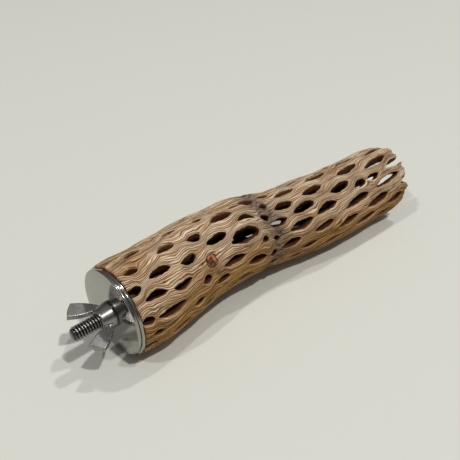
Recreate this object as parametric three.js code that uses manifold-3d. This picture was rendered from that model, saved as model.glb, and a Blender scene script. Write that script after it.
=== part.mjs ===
// Perch made from a cholla cactus skeleton.
// The dry wood is a hollow net of strands around rows of lens-shaped holes. A dowel plug is glued
// into its sawn end and holds a hanger bolt, which carries two wide washers and a wing nut.
//
// Millimetres, +Z up. The bolt's axis runs along X and the outer washer's front face is at x = 0
// until the whole group is shifted, at the end, to stand on its bottom centre.

import * as THREE from 'three';
import { mergeVertices } from 'three/addons/utils/BufferGeometryUtils.js';
import Module from 'manifold-3d';

// Hardware
const BOLT_HEIGHT = 20.2;
const BOLT_REACH = 18.5;
const THREAD_DIAMETER = 6.35;
const THREAD_PITCH = 1.27;
const THREAD_DEPTH = 0.7;
const THREAD_RUN = 6;
const SCREW_PITCH = 2.8;
const SCREW_DEPTH = 1.0;
const SCREW_END = 33;
const SCREW_TAPER = 6;
const WASHER_DIAMETER = 40;
const WASHER_THICKNESS = 1.6;
const WASHER_HOLE = 8.6;
const WASHER_EDGE = 0.3;
// How far each washer hangs off the bolt's axis, in y and z
const OUTER_SLIP = [0.1, 0.5];
const INNER_SLIP = [-0.5, -0.1];
const NUT_BASE_RADIUS = 5.9;
const NUT_TOP_RADIUS = 4.8;
const NUT_HEIGHT = 6.4;
const NUT_BORE_RADIUS = 3.5;
const WING_THICKNESS = 2.2;
const WING_BEVEL = 0.3;
const WING_TILT = 15;

// Wood: the sawn end, the broken end and the wall
const SAWN_END = 2 * WASHER_THICKNESS;
const BROKEN_END = 177.5;
const BROKEN_SLANT = 3;
const BROKEN_RAGGED = 2.4;
const RAGGED_FROM = 150;
const WALL = 5.2;
const FLAT_DIP = 0.45;
const SAWN_END_DIP = 0.3;

// The log's line and thickness at hand-measured stations: x, then y of the axis, then the radius
const STATIONS = [
  [3, 0.0, 20.9], [16, -0.6, 21.3], [30, 0.7, 20.9], [45, 2.6, 20.2], [60, 3.0, 19.5],
  [74, 1.6, 19.9], [83, 0.7, 19.8], [93, -0.7, 18.8], [104, -3.0, 18.9], [117, -4.9, 19.2],
  [132, -6.2, 18.9], [150, -7.1, 18.7], [168, -8.1, 18.9], [184, -9.5, 18.4],
];
const ARCH_HEIGHT = 2.2;
const ARCH_CENTRE = 70;
const ARCH_WIDTH = 32;

// Plug
const PLUG_RADIUS = 13.8;
const PLUG_END = 37;
const BORE_RADIUS = 14.5;
const BORE_END = 38;
const PILOT_CLEARANCE = 0.3;

// Holes: 18 files run the length of the wood, 20 degrees apart
const FILES = 18;
const FILE_ANGLE = 360 / FILES;
const FIRST_FILE = 12;
const NEAR_FIRST = 8.2;
const NEAR_STEP = 10;
const NEAR_PITCH = 18;
const NEAR_LAST = 76;
const FAR_FIRST = 85.1;
const FAR_RISE = 1.12;
const FAR_GROWTH = 0.0042;
const FAR_FILE = 2;
const FILES_PER_TURN_STEP = 5;
const FAR_LEAD = -3.2;
const FAR_TWIST = -0.635;
const JOINT_CENTRE = 80;
const LIP_DROP = 0.9;
const STRAND_RISE = 0.35;
const SPREAD = 26;
const INNER_OPENING = 0.72;

// Holes of the side that shows, measured one by one. For each file: x of the middle, half length,
// half width, and how many degrees the hole lies off its file
const MEASURED = {
  0: [[9.3, 3.1, 1.4, 0], [28.4, 4.8, 1.6, -6], [43.4, 4.0, 1.9, 5], [62.2, 6.0, 1.9, -6],
    [84.4, 2.0, 1.1, 8], [101.6, 6.5, 1.6, -2], [125.5, 8.0, 1.8, 0]],
  1: [[4.9, 4.1, 1.9, 4], [19.2, 5.7, 1.7, -4], [34.5, 4.4, 1.8, 5], [52.9, 6.3, 1.9, 1],
    [71.6, 4.2, 1.2, -9], [80.4, 2.2, 1.3, 9], [94.7, 5.8, 2.0, 0], [114.8, 6.7, 2.1, 1],
    [144.7, 8.5, 2.1, 2], [170.9, 9.1, 1.5, -3]],
  2: [[12.7, 5.2, 1.6, -3], [26.3, 5.2, 1.4, 6], [66.6, 7.9, 3.4, -5], [87.0, 5.7, 1.8, 1],
    [104.3, 6.8, 2.0, -3], [130.6, 7.7, 2.1, 2], [161.6, 7.8, 1.9, 1]],
  3: [[5.9, 3.1, 1.7, 0], [17.5, 7.4, 1.9, 5], [39.5, 2.8, 1.8, 0], [57.2, 6.6, 1.6, 0],
    [76.0, 2.0, 1.2, -7], [82.3, 1.8, 1.1, 2], [99.0, 7.3, 2.0, 0], [116.4, 7.1, 1.9, -4],
    [143.8, 4.7, 1.8, -4], [154.1, 4.4, 1.5, 1], [174.0, 9.5, 2.3, 1]],
  4: [[9.5, 2.8, 1.3, 4], [32.7, 3.1, 1.3, 0], [49.0, 4.2, 1.5, -5], [69.8, 5.1, 2.0, -4],
    [79.8, 2.0, 1.6, 4], [91.3, 6.1, 2.0, 0], [111.6, 6.1, 1.6, 1], [137.0, 9.2, 1.8, -4],
    [162.4, 9.4, 1.8, -1]],
  5: [[62.8, 4.6, 1.1, 0], [102.8, 4.7, 1.3, 2], [128.3, 7.6, 1.8, -2], [152.6, 8.7, 2.1, 0],
    [178.5, 5.5, 1.5, 0]],
  6: [[167.8, 7.0, 2.0, 0]],
  17: [[16.0, 4.1, 1.8, -8], [36.5, 3.7, 1.2, -8], [52.6, 2.8, 1.1, 0], [78.8, 3.8, 2.3, 9],
    [90.3, 3.7, 1.4, 8]],
};
const GUM = { file: 2, x: 44.8 };
const OWN_LENGTH = 9;

// Grid of the wood
const SUB = 2;
const COLUMNS = FILES * SUB;
const ROWS = 70;

const wasm = await Module();
wasm.setup();

const radians = THREE.MathUtils.degToRad;
const { clamp, smoothstep } = THREE.MathUtils;

// A repeatable draw between 0 and 1 for a whole number
function draw(n) {
  const value = Math.sin(n * 12.9898 + 4.1) * 43758.5453;
  return value - Math.floor(value);
}

// Smooth value of a station column at x
function station(x, column) {
  const last = STATIONS.length - 1;
  let i = 0;
  while (i < last - 1 && x > STATIONS[i + 1][0]) i++;
  const p0 = STATIONS[Math.max(i - 1, 0)];
  const p1 = STATIONS[i];
  const p2 = STATIONS[i + 1];
  const p3 = STATIONS[Math.min(i + 2, last)];
  const span = p2[0] - p1[0];
  const t = (x - p1[0]) / span;
  const m1 = ((p2[column] - p0[column]) / (p2[0] - p0[0])) * span;
  const m2 = ((p3[column] - p1[column]) / (p3[0] - p1[0])) * span;
  const t2 = t * t;
  const t3 = t2 * t;
  return (2 * t3 - 3 * t2 + 1) * p1[column] + (t3 - 2 * t2 + t) * m1
    + (3 * t2 - 2 * t3) * p2[column] + (t3 - t2) * m2;
}

const radiusAt = (x) => station(x, 2);
const axisY = (x) => station(x, 1);

// The log touches the ground at both ends, where it is worn flat, and arches a little between them
function axisZ(x) {
  const arch = ARCH_HEIGHT * Math.exp(-(((x - ARCH_CENTRE) / ARCH_WIDTH) ** 2));
  const dip = FLAT_DIP + SAWN_END_DIP * (1 - smoothstep(x, 15, 50));
  return radiusAt(x) + arch - dip;
}

// How many holes of the upper growth lie below x, as a continuous count
function growthCount(x) {
  const along = Math.max(x - FAR_FIRST, 0);
  return (Math.sqrt(FAR_RISE ** 2 + 4 * FAR_GROWTH * along) - FAR_RISE) / (2 * FAR_GROWTH);
}

// The files run straight below the joint and twist slowly above it
function twist(x) {
  return FAR_LEAD * smoothstep(x, NEAR_LAST - 4, FAR_FIRST) + FAR_TWIST * growthCount(x);
}

// Every hole as its file, middle, half length, half width and shift off the file
function findHoles() {
  const holes = [];
  for (const [file, rows] of Object.entries(MEASURED)) {
    for (const [x, half, width, shift] of rows) {
      holes.push({ file: Number(file), x, half, width, shift });
    }
  }
  // The other holes keep the regular order of the growth
  const seen = [...holes, GUM];
  const isSeen = (file, x) => seen.some((hole) => hole.file === file && Math.abs(hole.x - x) < OWN_LENGTH);
  let count = 0;
  for (let file = 0; file < FILES; file++) {
    const first = NEAR_FIRST + ((NEAR_STEP * file) % NEAR_PITCH) - NEAR_PITCH;
    for (let x = first; x < NEAR_LAST; x += NEAR_PITCH) {
      count++;
      const half = 3.6 + 2.8 * draw(count);
      const width = 1.6 + 0.7 * draw(count + 500);
      const middle = x + 2.4 * (draw(count + 900) - 0.5);
      const isOff = middle + half < SAWN_END + 2;
      if (!isOff && !isSeen(file, x)) holes.push({ file, x: middle, half, width, shift: 0 });
    }
  }
  for (let k = 0; growthCount(BROKEN_END + 4) > k; k++) {
    const x = FAR_FIRST + FAR_RISE * k + FAR_GROWTH * k * k + 2 * (draw(k + 3000) - 0.5);
    const file = (FAR_FILE + FILES_PER_TURN_STEP * k) % FILES;
    const half = (5.8 + 0.045 * k) * (0.9 + 0.25 * draw(k + 2000));
    const width = 1.6 + 0.6 * draw(k + 2500);
    if (!isSeen(file, x)) holes.push({ file, x, half, width, shift: 0 });
  }
  // Small round holes sit in the ring of the joint wherever a file leaves room
  for (let file = 0; file < FILES; file++) {
    const x = JOINT_CENTRE + 5 * (draw(file + 4000) - 0.5);
    const half = 2.6 + 0.6 * draw(file + 4500);
    const room = (hole) => hole.file !== file || Math.abs(hole.x - x) > hole.half + half + 3.2;
    if (holes.every(room)) holes.push({ file, x, half, width: 1.3, shift: 0 });
  }
  return holes;
}

const holes = findHoles();

// How far a hole is open at x, from 0 at its tips to 1 at its middle
function opening(hole, x) {
  const t = (x - hole.x) / hole.half;
  return Math.abs(t) < 1 ? (1 - t * t) ** 0.8 : 0;
}

const fileAngle = (file) => FIRST_FILE + FILE_ANGLE * file;
const wrapAngle = (a) => ((a + 540) % 360 + 360) % 360 - 180;

// Angle of a strand line at x once the holes have pushed it aside; side picks a lip of its own hole
function strandAngle(x, line, side, share) {
  let angle = line + twist(x);
  for (const hole of holes) {
    const open = opening(hole, x);
    const off = wrapAngle(line - fileAngle(hole.file));
    if (open > 0 && Math.abs(off) < SPREAD) {
      const push = THREE.MathUtils.radToDeg(hole.width / radiusAt(x)) * share;
      const way = Math.abs(off) < 0.01 ? side : Math.sign(off);
      const move = way * push + hole.shift;
      angle += move * open * (1 - Math.abs(off) / SPREAD) ** 2;
    }
  }
  return radians(angle);
}

// The broken end is slanted and each strand snaps at its own length
function brokenX(x, line, column) {
  const slant = BROKEN_SLANT * Math.cos(radians(line + twist(x) + 20));
  const snap = BROKEN_RAGGED * (draw(column + 6000) - 0.5);
  return x + (slant + snap) * smoothstep(x, RAGGED_FROM, BROKEN_END);
}

function outerPoint(x, column, side) {
  const line = FIRST_FILE + (360 / COLUMNS) * column;
  const angle = strandAngle(x, line, side, 1);
  const onFile = column % SUB === 0;
  const relief = onFile ? -LIP_DROP * Math.abs(side) : STRAND_RISE;
  const radius = radiusAt(x) + relief;
  const y = axisY(x) - radius * Math.sin(angle);
  const z = axisZ(x) + radius * Math.cos(angle);
  return [brokenX(x, line, column), y, Math.max(z, 0)];
}

function innerPoint(x, column, side) {
  const line = FIRST_FILE + (360 / COLUMNS) * column;
  const angle = strandAngle(x, line, side, INNER_OPENING);
  const drilled = x < BORE_END;
  const radius = drilled ? BORE_RADIUS : radiusAt(x) - WALL;
  const y = (drilled ? 0 : axisY(x)) - radius * Math.sin(angle);
  const z = (drilled ? BOLT_HEIGHT : axisZ(x)) + radius * Math.cos(angle);
  return [brokenX(x, line, column), y, z];
}

// The wood as a grid of strand lines with a slit opened along its file for every hole
function skeletonGeometry() {
  const points = [];
  const faces = [];
  const rowX = (row) => SAWN_END + ((BROKEN_END - SAWN_END) * row) / ROWS;
  const add = (point) => points.push(...point) / 3 - 1;
  const slit = Array.from({ length: FILES }, () => new Array(ROWS + 1).fill(false));
  for (const hole of holes) {
    for (let row = 0; row <= ROWS; row++) {
      if (opening(hole, rowX(row)) > 0.2) slit[hole.file][row] = true;
    }
  }

  // Each grid point has a left and a right copy, which differ only on the lips of a hole
  const outer = [];
  const inner = [];
  for (let row = 0; row <= ROWS; row++) {
    const x = rowX(row);
    outer.push([]);
    inner.push([]);
    for (let column = 0; column < COLUMNS; column++) {
      const split = column % SUB === 0 && slit[column / SUB][row];
      const sides = split ? [-1, 1] : [0];
      const out = sides.map((side) => add(outerPoint(x, column, side)));
      outer[row].push({ left: out[0], right: out[out.length - 1] });
      if (column % SUB === 0) {
        const inn = sides.map((side) => add(innerPoint(x, column, side)));
        inner[row].push({ left: inn[0], right: inn[inn.length - 1] });
      }
    }
  }

  const quad = (a, b, c, d) => faces.push(a, b, c, a, c, d);
  for (let row = 0; row < ROWS; row++) {
    for (let column = 0; column < COLUMNS; column++) {
      const next = (column + 1) % COLUMNS;
      quad(outer[row][column].right, outer[row][next].left,
        outer[row + 1][next].left, outer[row + 1][column].right);
    }
    for (let file = 0; file < FILES; file++) {
      const next = (file + 1) % FILES;
      quad(inner[row][file].right, inner[row + 1][file].right,
        inner[row + 1][next].left, inner[row][next].left);
      if (slit[file][row] || slit[file][row + 1]) {
        const out = [outer[row][file * SUB], outer[row + 1][file * SUB]];
        const inn = [inner[row][file], inner[row + 1][file]];
        quad(out[0].right, out[1].right, inn[1].right, inn[0].right);
        quad(out[1].left, out[0].left, inn[0].left, inn[1].left);
      }
    }
  }

  // End faces between the outer and inner edges, one fan for each strand
  for (let file = 0; file < FILES; file++) {
    const next = (file + 1) % FILES;
    for (const row of [0, ROWS]) {
      const rim = [outer[row][file * SUB].right];
      for (let sub = 1; sub < SUB; sub++) rim.push(outer[row][file * SUB + sub].left);
      rim.push(outer[row][(file * SUB + SUB) % COLUMNS].left);
      const inA = inner[row][file].right;
      const inB = inner[row][next].left;
      const fan = [[rim[1], rim[0], inA], [rim[1], inA, inB], [rim[2], rim[1], inB]];
      for (const [a, b, c] of fan) faces.push(...(row === 0 ? [a, b, c] : [a, c, b]));
    }
  }

  const geometry = new THREE.BufferGeometry();
  geometry.setAttribute('position', new THREE.Float32BufferAttribute(points, 3));
  geometry.setIndex(faces);
  return geometry;
}

// A solid turned about the bolt's axis from a closed outline of [x, radius] points
function turned(outline, sides) {
  const profile = outline.map(([x, radius]) => new THREE.Vector2(radius, x));
  const geometry = new THREE.LatheGeometry(profile, sides);
  geometry.rotateZ(-Math.PI / 2);
  return geometry;
}

function washerGeometry() {
  const outer = WASHER_DIAMETER / 2;
  const hole = WASHER_HOLE / 2;
  const edge = WASHER_EDGE;
  const thick = WASHER_THICKNESS;
  return turned([
    [0, hole], [0, outer - edge], [edge, outer], [thick - edge, outer],
    [thick, outer - edge], [thick, hole], [0, hole],
  ], 56);
}

function plugGeometry() {
  const pilot = THREAD_DIAMETER / 2 + PILOT_CLEARANCE;
  const chamfer = 1;
  return turned([
    [SAWN_END, pilot], [SAWN_END, PLUG_RADIUS], [PLUG_END - chamfer, PLUG_RADIUS],
    [PLUG_END, PLUG_RADIUS - chamfer], [PLUG_END, 0], [SCREW_END + 1, 0],
    [SCREW_END + 1, pilot], [SAWN_END, pilot],
  ], 40);
}

// Height of a thread's ridge, 0 in the groove and 1 on the crest, at a point of its turn
function ridge(turns) {
  const phase = turns - Math.floor(turns);
  return clamp(1.7 - Math.abs(phase - 0.5) * 4.4, 0, 1);
}

// Machine thread outside and through the washers, wood screw thread in the plug
function boltRadius(x, angle) {
  const crest = THREAD_DIAMETER / 2;
  const turn = angle / (2 * Math.PI);
  if (x < THREAD_RUN) {
    const lead = clamp((x + BOLT_REACH) / THREAD_PITCH, 0, 1);
    const depth = THREAD_DEPTH * (1 - ridge(x / THREAD_PITCH - turn) * lead);
    return crest - depth;
  }
  const taper = clamp((SCREW_END - x) / SCREW_TAPER, 0.12, 1);
  const depth = SCREW_DEPTH * (1 - ridge(x / SCREW_PITCH - turn));
  return (crest - depth) * taper;
}

function boltGeometry() {
  const sides = 14;
  const points = [-BOLT_REACH, 0, 0];
  const faces = [];
  const stops = [];
  for (let x = -BOLT_REACH; x < THREAD_RUN; x += THREAD_PITCH / 4) stops.push(x);
  for (let x = THREAD_RUN; x <= SCREW_END; x += SCREW_PITCH / 4) stops.push(x);
  for (const x of stops) {
    for (let side = 0; side < sides; side++) {
      const angle = (2 * Math.PI * side) / sides;
      const radius = boltRadius(x, angle);
      points.push(x, radius * Math.cos(angle), radius * Math.sin(angle));
    }
  }
  points.push(stops[stops.length - 1] + 0.3, 0, 0);
  const at = (ring, side) => 1 + ring * sides + (side % sides);
  const end = points.length / 3 - 1;
  const lastRing = stops.length - 1;
  for (let side = 0; side < sides; side++) {
    faces.push(0, at(0, side + 1), at(0, side));
    faces.push(end, at(lastRing, side), at(lastRing, side + 1));
    for (let ring = 0; ring < lastRing; ring++) {
      const [a, b] = [at(ring, side), at(ring, side + 1)];
      const [c, d] = [at(ring + 1, side + 1), at(ring + 1, side)];
      faces.push(a, b, c, a, c, d);
    }
  }
  const geometry = new THREE.BufferGeometry();
  geometry.setAttribute('position', new THREE.Float32BufferAttribute(points, 3));
  geometry.setIndex(faces);
  return geometry;
}

function toSolid(geometry) {
  const plain = geometry.clone();
  plain.deleteAttribute('normal');
  plain.deleteAttribute('uv');
  const welded = mergeVertices(plain, 1e-4);
  const index = welded.index.array;
  const kept = [];
  for (let i = 0; i < index.length; i += 3) {
    const [a, b, c] = [index[i], index[i + 1], index[i + 2]];
    if (a !== b && b !== c && c !== a) kept.push(a, b, c);
  }
  return new wasm.Manifold(new wasm.Mesh({
    numProp: 3,
    vertProperties: new Float32Array(welded.attributes.position.array),
    triVerts: new Uint32Array(kept),
  }));
}

function toGeometry(solid) {
  const mesh = solid.getMesh();
  const geometry = new THREE.BufferGeometry();
  geometry.setAttribute('position', new THREE.Float32BufferAttribute(mesh.vertProperties, 3));
  geometry.setIndex(new THREE.BufferAttribute(mesh.triVerts, 1));
  return geometry;
}

// One fan-shaped wing: x runs out along the bolt (negative), y away from it
function wingGeometry() {
  const shape = new THREE.Shape();
  shape.moveTo(-1.2, 4.2);
  shape.quadraticCurveTo(-3.4, 9.4, -11.2, 13.5);
  shape.quadraticCurveTo(-14.6, 11.6, -16.2, 8.0);
  shape.quadraticCurveTo(-11, 4.9, -6.0, 4.2);
  shape.closePath();
  const geometry = new THREE.ExtrudeGeometry(shape, {
    depth: WING_THICKNESS, bevelThickness: WING_BEVEL, bevelSize: WING_BEVEL, bevelSegments: 1,
    curveSegments: 6,
  });
  geometry.translate(0, 0, -WING_THICKNESS / 2);
  return geometry;
}

function wingNutGeometry() {
  const hub = toSolid(turned([
    [0, NUT_BORE_RADIUS], [-NUT_HEIGHT, NUT_BORE_RADIUS], [-NUT_HEIGHT, NUT_TOP_RADIUS - 0.4],
    [-NUT_HEIGHT + 0.4, NUT_TOP_RADIUS], [-0.8, NUT_BASE_RADIUS], [0, NUT_BASE_RADIUS],
    [0, NUT_BORE_RADIUS],
  ], 40));
  const wing = toSolid(wingGeometry());
  return toGeometry(hub.add(wing).add(wing.rotate([180, 0, 0])));
}

const steel = { color: 0xc9ccd0, roughness: 0.16, metalness: 1 };
const piece = (name, geometry, look) => {
  const mesh = new THREE.Mesh(geometry, new THREE.MeshStandardMaterial(look));
  mesh.name = name;
  return mesh;
};

const perch = new THREE.Group();
perch.name = 'cholla_perch';

const wood = { color: 0xb8956c, roughness: 0.85, metalness: 0 };
perch.add(piece('cholla_skeleton', skeletonGeometry(), wood));

const hardware = new THREE.Group();
hardware.position.z = BOLT_HEIGHT;
perch.add(hardware);

hardware.add(piece('end_plug', plugGeometry(), { color: 0x8a5a32, roughness: 0.8, metalness: 0 }));
hardware.add(piece('hanger_bolt', boltGeometry(), steel));

const outerWasher = piece('outer_washer', washerGeometry(), steel);
outerWasher.position.set(0, ...OUTER_SLIP);
hardware.add(outerWasher);

const innerWasher = piece('inner_washer', washerGeometry(), steel);
innerWasher.position.set(WASHER_THICKNESS, ...INNER_SLIP);
hardware.add(innerWasher);

const wingNut = piece('wing_nut', wingNutGeometry(), steel);
wingNut.rotation.x = radians(180 + WING_TILT);
hardware.add(wingNut);

// Stand the whole perch on the middle of its underside
const bounds = new THREE.Box3().setFromObject(perch);
const centre = bounds.getCenter(new THREE.Vector3());
perch.position.set(-centre.x, -centre.y, -bounds.min.z);

export default perch;
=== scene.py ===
import math

import bmesh
import bpy
import numpy as np
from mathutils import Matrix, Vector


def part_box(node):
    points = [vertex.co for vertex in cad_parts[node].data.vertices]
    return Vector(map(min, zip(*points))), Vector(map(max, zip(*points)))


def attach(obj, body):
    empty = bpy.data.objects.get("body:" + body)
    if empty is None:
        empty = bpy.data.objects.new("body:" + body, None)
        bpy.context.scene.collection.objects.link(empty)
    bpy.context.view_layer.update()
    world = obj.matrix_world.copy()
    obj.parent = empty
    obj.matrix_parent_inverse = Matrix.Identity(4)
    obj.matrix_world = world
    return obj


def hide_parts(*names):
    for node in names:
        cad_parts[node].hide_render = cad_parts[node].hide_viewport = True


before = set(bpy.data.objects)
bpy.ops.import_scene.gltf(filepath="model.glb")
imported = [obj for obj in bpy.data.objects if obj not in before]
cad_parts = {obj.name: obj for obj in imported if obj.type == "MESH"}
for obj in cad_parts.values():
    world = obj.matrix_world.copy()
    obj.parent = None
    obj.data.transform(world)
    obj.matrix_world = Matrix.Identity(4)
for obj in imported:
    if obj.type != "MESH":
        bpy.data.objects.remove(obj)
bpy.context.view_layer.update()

# Cholla skeleton.
# The dry core of a dead cactus stem: a hollow net of fibrous wood whose strands part round rows of
# lens-shaped holes. It is sawn square at the bolt's end, snapped at the other, and left as it grew.

# Sizes are in millimetres, with x measured from the outer washer's face
MM = 0.001
SAWN_END = 3.2
BROKEN_END = 177.5
BROKEN_SLANT = 3
BROKEN_RAGGED = 2.4
RAGGED_FROM = 150
WALL = 5.2
FLAT_DIP = 0.45
SAWN_END_DIP = 0.3
SAWN_DIP_FADE = (15, 50)
ARCH_HEIGHT = 2.2
ARCH_CENTRE = 70
ARCH_WIDTH = 32
BORE_RADIUS = 14.5
BORE_END = 38
BOLT_HEIGHT = 20.2

# The stem's line and thickness at measured stations: x, y of the axis, radius
STATIONS = np.array([
    (3, 0.0, 20.9), (16, -0.6, 21.3), (30, 0.7, 20.9), (45, 2.6, 20.2), (60, 3.0, 19.5),
    (74, 1.6, 19.9), (83, 0.7, 19.8), (93, -0.7, 18.8), (104, -3.0, 18.9), (117, -4.9, 19.2),
    (132, -6.2, 18.9), (150, -7.1, 18.7), (168, -8.1, 18.9), (184, -9.5, 18.4),
])

# Holes: 18 files, straight below the joint between two years' growth and slowly twisting above it
FILES = 18
FILE_ANGLE = 360 / FILES
FIRST_FILE = 12
NEAR_FIRST = 8.2
NEAR_STEP = 10
NEAR_PITCH = 18
NEAR_LAST = 76
FAR_FIRST = 85.1
FAR_RISE = 1.12
FAR_GROWTH = 0.0042
FAR_FILE = 2
FILES_PER_TURN_STEP = 5
FAR_LEAD = -3.2
FAR_TWIST = -0.635
TWIST_EARLY = 4
JOINT_CENTRE = 80
SPREAD = 26
ON_FILE = 0.01
INNER_OPENING = 0.72
SLIT_FROM = 0.04

# Holes of the sides that don't show: the least and the spread of half lengths and half widths, and how
# far a hole strays along its file
NEAR_HALF = (3.6, 2.8)
NEAR_WIDTH = (1.6, 0.7)
NEAR_SCATTER = 2.4
SAWN_MARGIN = 2
FAR_HALF = 5.8
FAR_HALF_GROWTH = 0.045
FAR_HALF_SHARE = (0.9, 0.25)
FAR_WIDTH = (1.6, 0.6)
FAR_SCATTER = 2
FAR_PAST_END = 4
JOINT_HALF = (2.6, 0.6)
JOINT_WIDTH = 1.3
JOINT_SCATTER = 5
JOINT_CLEAR = 3.2

# Holes of the side that shows, measured one by one. For each file: x of the middle, half length,
# half width, and how many degrees the hole lies off its file
MEASURED = {
    0: [(9.3, 3.1, 1.4, 0), (28.4, 4.8, 1.6, -6), (43.4, 4.0, 1.9, 5), (62.2, 6.0, 1.9, -6),
        (84.4, 2.0, 1.1, 8), (101.6, 6.5, 1.6, -2), (125.5, 8.0, 1.8, 0)],
    1: [(4.9, 4.1, 1.9, 4), (19.2, 5.7, 1.7, -4), (34.5, 4.4, 1.8, 5), (52.9, 6.3, 1.9, 1),
        (71.6, 4.2, 1.2, -9), (80.4, 2.2, 1.3, 9), (94.7, 5.8, 2.0, 0), (114.8, 6.7, 2.1, 1),
        (144.7, 8.5, 2.1, 2), (170.9, 9.1, 1.5, -3)],
    2: [(12.7, 5.2, 1.6, -3), (26.3, 5.2, 1.4, 6), (66.6, 7.9, 3.4, -5), (87.0, 5.7, 1.8, 1),
        (104.3, 6.8, 2.0, -3), (130.6, 7.7, 2.1, 2), (161.6, 7.8, 1.9, 1)],
    3: [(5.9, 3.1, 1.7, 0), (17.5, 7.4, 1.9, 5), (39.5, 2.8, 1.8, 0), (57.2, 6.6, 1.6, 0),
        (76.0, 2.0, 1.2, -7), (82.3, 1.8, 1.1, 2), (99.0, 7.3, 2.0, 0), (116.4, 7.1, 1.9, -4),
        (143.8, 4.7, 1.8, -4), (154.1, 4.4, 1.5, 1), (174.0, 9.5, 2.3, 1)],
    4: [(9.5, 2.8, 1.3, 4), (32.7, 3.1, 1.3, 0), (49.0, 4.2, 1.5, -5), (69.8, 5.1, 2.0, -4),
        (79.8, 2.0, 1.6, 4), (91.3, 6.1, 2.0, 0), (111.6, 6.1, 1.6, 1), (137.0, 9.2, 1.8, -4),
        (162.4, 9.4, 1.8, -1)],
    5: [(62.8, 4.6, 1.1, 0), (102.8, 4.7, 1.3, 2), (128.3, 7.6, 1.8, -2), (152.6, 8.7, 2.1, 0),
        (178.5, 5.5, 1.5, 0)],
    6: [(167.8, 7.0, 2.0, 0)],
    17: [(16.0, 4.1, 1.8, -8), (36.5, 3.7, 1.2, -8), (52.6, 2.8, 1.1, 0), (78.8, 3.8, 2.3, 9),
         (90.3, 3.7, 1.4, 8)],
}

# The hole that gum has filled, how near a measured hole no guessed one is put, and how far past its tips
# a hole that lies off its file bends the strands
GUM = {"file": 2, "x": 44.8, "half": 3.4, "width": 1.9, "shift": 2.5}
OWN_LENGTH = 9
BEND_MORE = 3

# Outline of a hole: how blunt its two tips are, how much the rounding of its lips widens it, and how
# unevenly its lips are torn, in two waves with so many radians a millimetre
BLUNT_TIP = (0.46, 0.2)
SHARP_TIP = 0.7
LIP_FLARE = 0.25
JOINT_FLARE = 0.5
JOINT_REACH = 7
LIP_UNEVEN = 0.09
LONG_WAVE = 0.7
SHORT_WAVE = 1.9
SHORT_SHARE = 0.6

# Grid of the wood
PER_FILE = 18
COLUMNS = FILES * PER_FILE
INNER_PER_FILE = 3
ROWS = 205
WALL_STEPS = (0.12, 0.36, 0.68)

plug_low, plug_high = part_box("end_plug")
FACE_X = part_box("outer_washer")[0].x
AXIS_Y = (plug_low.y + plug_high.y) / 2


def placed(points):
    """Millimetres from the washer's face, the bolt's line and the ground, moved into the part's frame."""
    return np.asarray(points, float) * MM + np.array([FACE_X, AXIS_Y, 0.0])


def draw(n):
    """A repeatable draw between 0 and 1 for a whole number."""
    value = np.sin(np.asarray(n, float) * 12.9898 + 4.1) * 43758.5453
    return value - np.floor(value)


def drawn(least, spread, n):
    """A repeatable draw from least up to least and spread together."""
    return least + spread * draw(n)


def ease(x, low, high):
    """0 below low and 1 above high, with a smooth rise between."""
    t = np.clip((np.asarray(x, float) - low) / (high - low), 0, 1)
    return t * t * (3 - 2 * t)


def station(x, column):
    """The axis or the radius at x, on a smooth curve through the stations."""
    last = len(STATIONS) - 1
    i = np.clip(np.searchsorted(STATIONS[:, 0], x, side="left") - 1, 0, last - 1)
    before = STATIONS[np.maximum(i - 1, 0)]
    start = STATIONS[i]
    stop = STATIONS[i + 1]
    after = STATIONS[np.minimum(i + 2, last)]
    span = stop[..., 0] - start[..., 0]
    t = (x - start[..., 0]) / span
    leave = (stop[..., column] - before[..., column]) / (stop[..., 0] - before[..., 0]) * span
    arrive = (after[..., column] - start[..., column]) / (after[..., 0] - start[..., 0]) * span
    return (
        (2 * t**3 - 3 * t**2 + 1) * start[..., column]
        + (t**3 - 2 * t**2 + t) * leave
        + (3 * t**2 - 2 * t**3) * stop[..., column]
        + (t**3 - t**2) * arrive
    )


def axis_z(x):
    """Height of the axis at x: the stem arches off the ground between its two ends."""
    arch = ARCH_HEIGHT * np.exp(-(((x - ARCH_CENTRE) / ARCH_WIDTH) ** 2))
    dip = FLAT_DIP + SAWN_END_DIP * (1 - ease(x, *SAWN_DIP_FADE))
    return station(x, 2) + arch - dip


def growth_count(x):
    """How many holes of the spiral above the joint come before x."""
    along = np.maximum(np.asarray(x, float) - FAR_FIRST, 0)
    return (np.sqrt(FAR_RISE**2 + 4 * FAR_GROWTH * along) - FAR_RISE) / (2 * FAR_GROWTH)


def twist(x):
    """Degrees by which the files have turned at x."""
    return FAR_LEAD * ease(x, NEAR_LAST - TWIST_EARLY, FAR_FIRST) + FAR_TWIST * growth_count(x)


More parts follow.
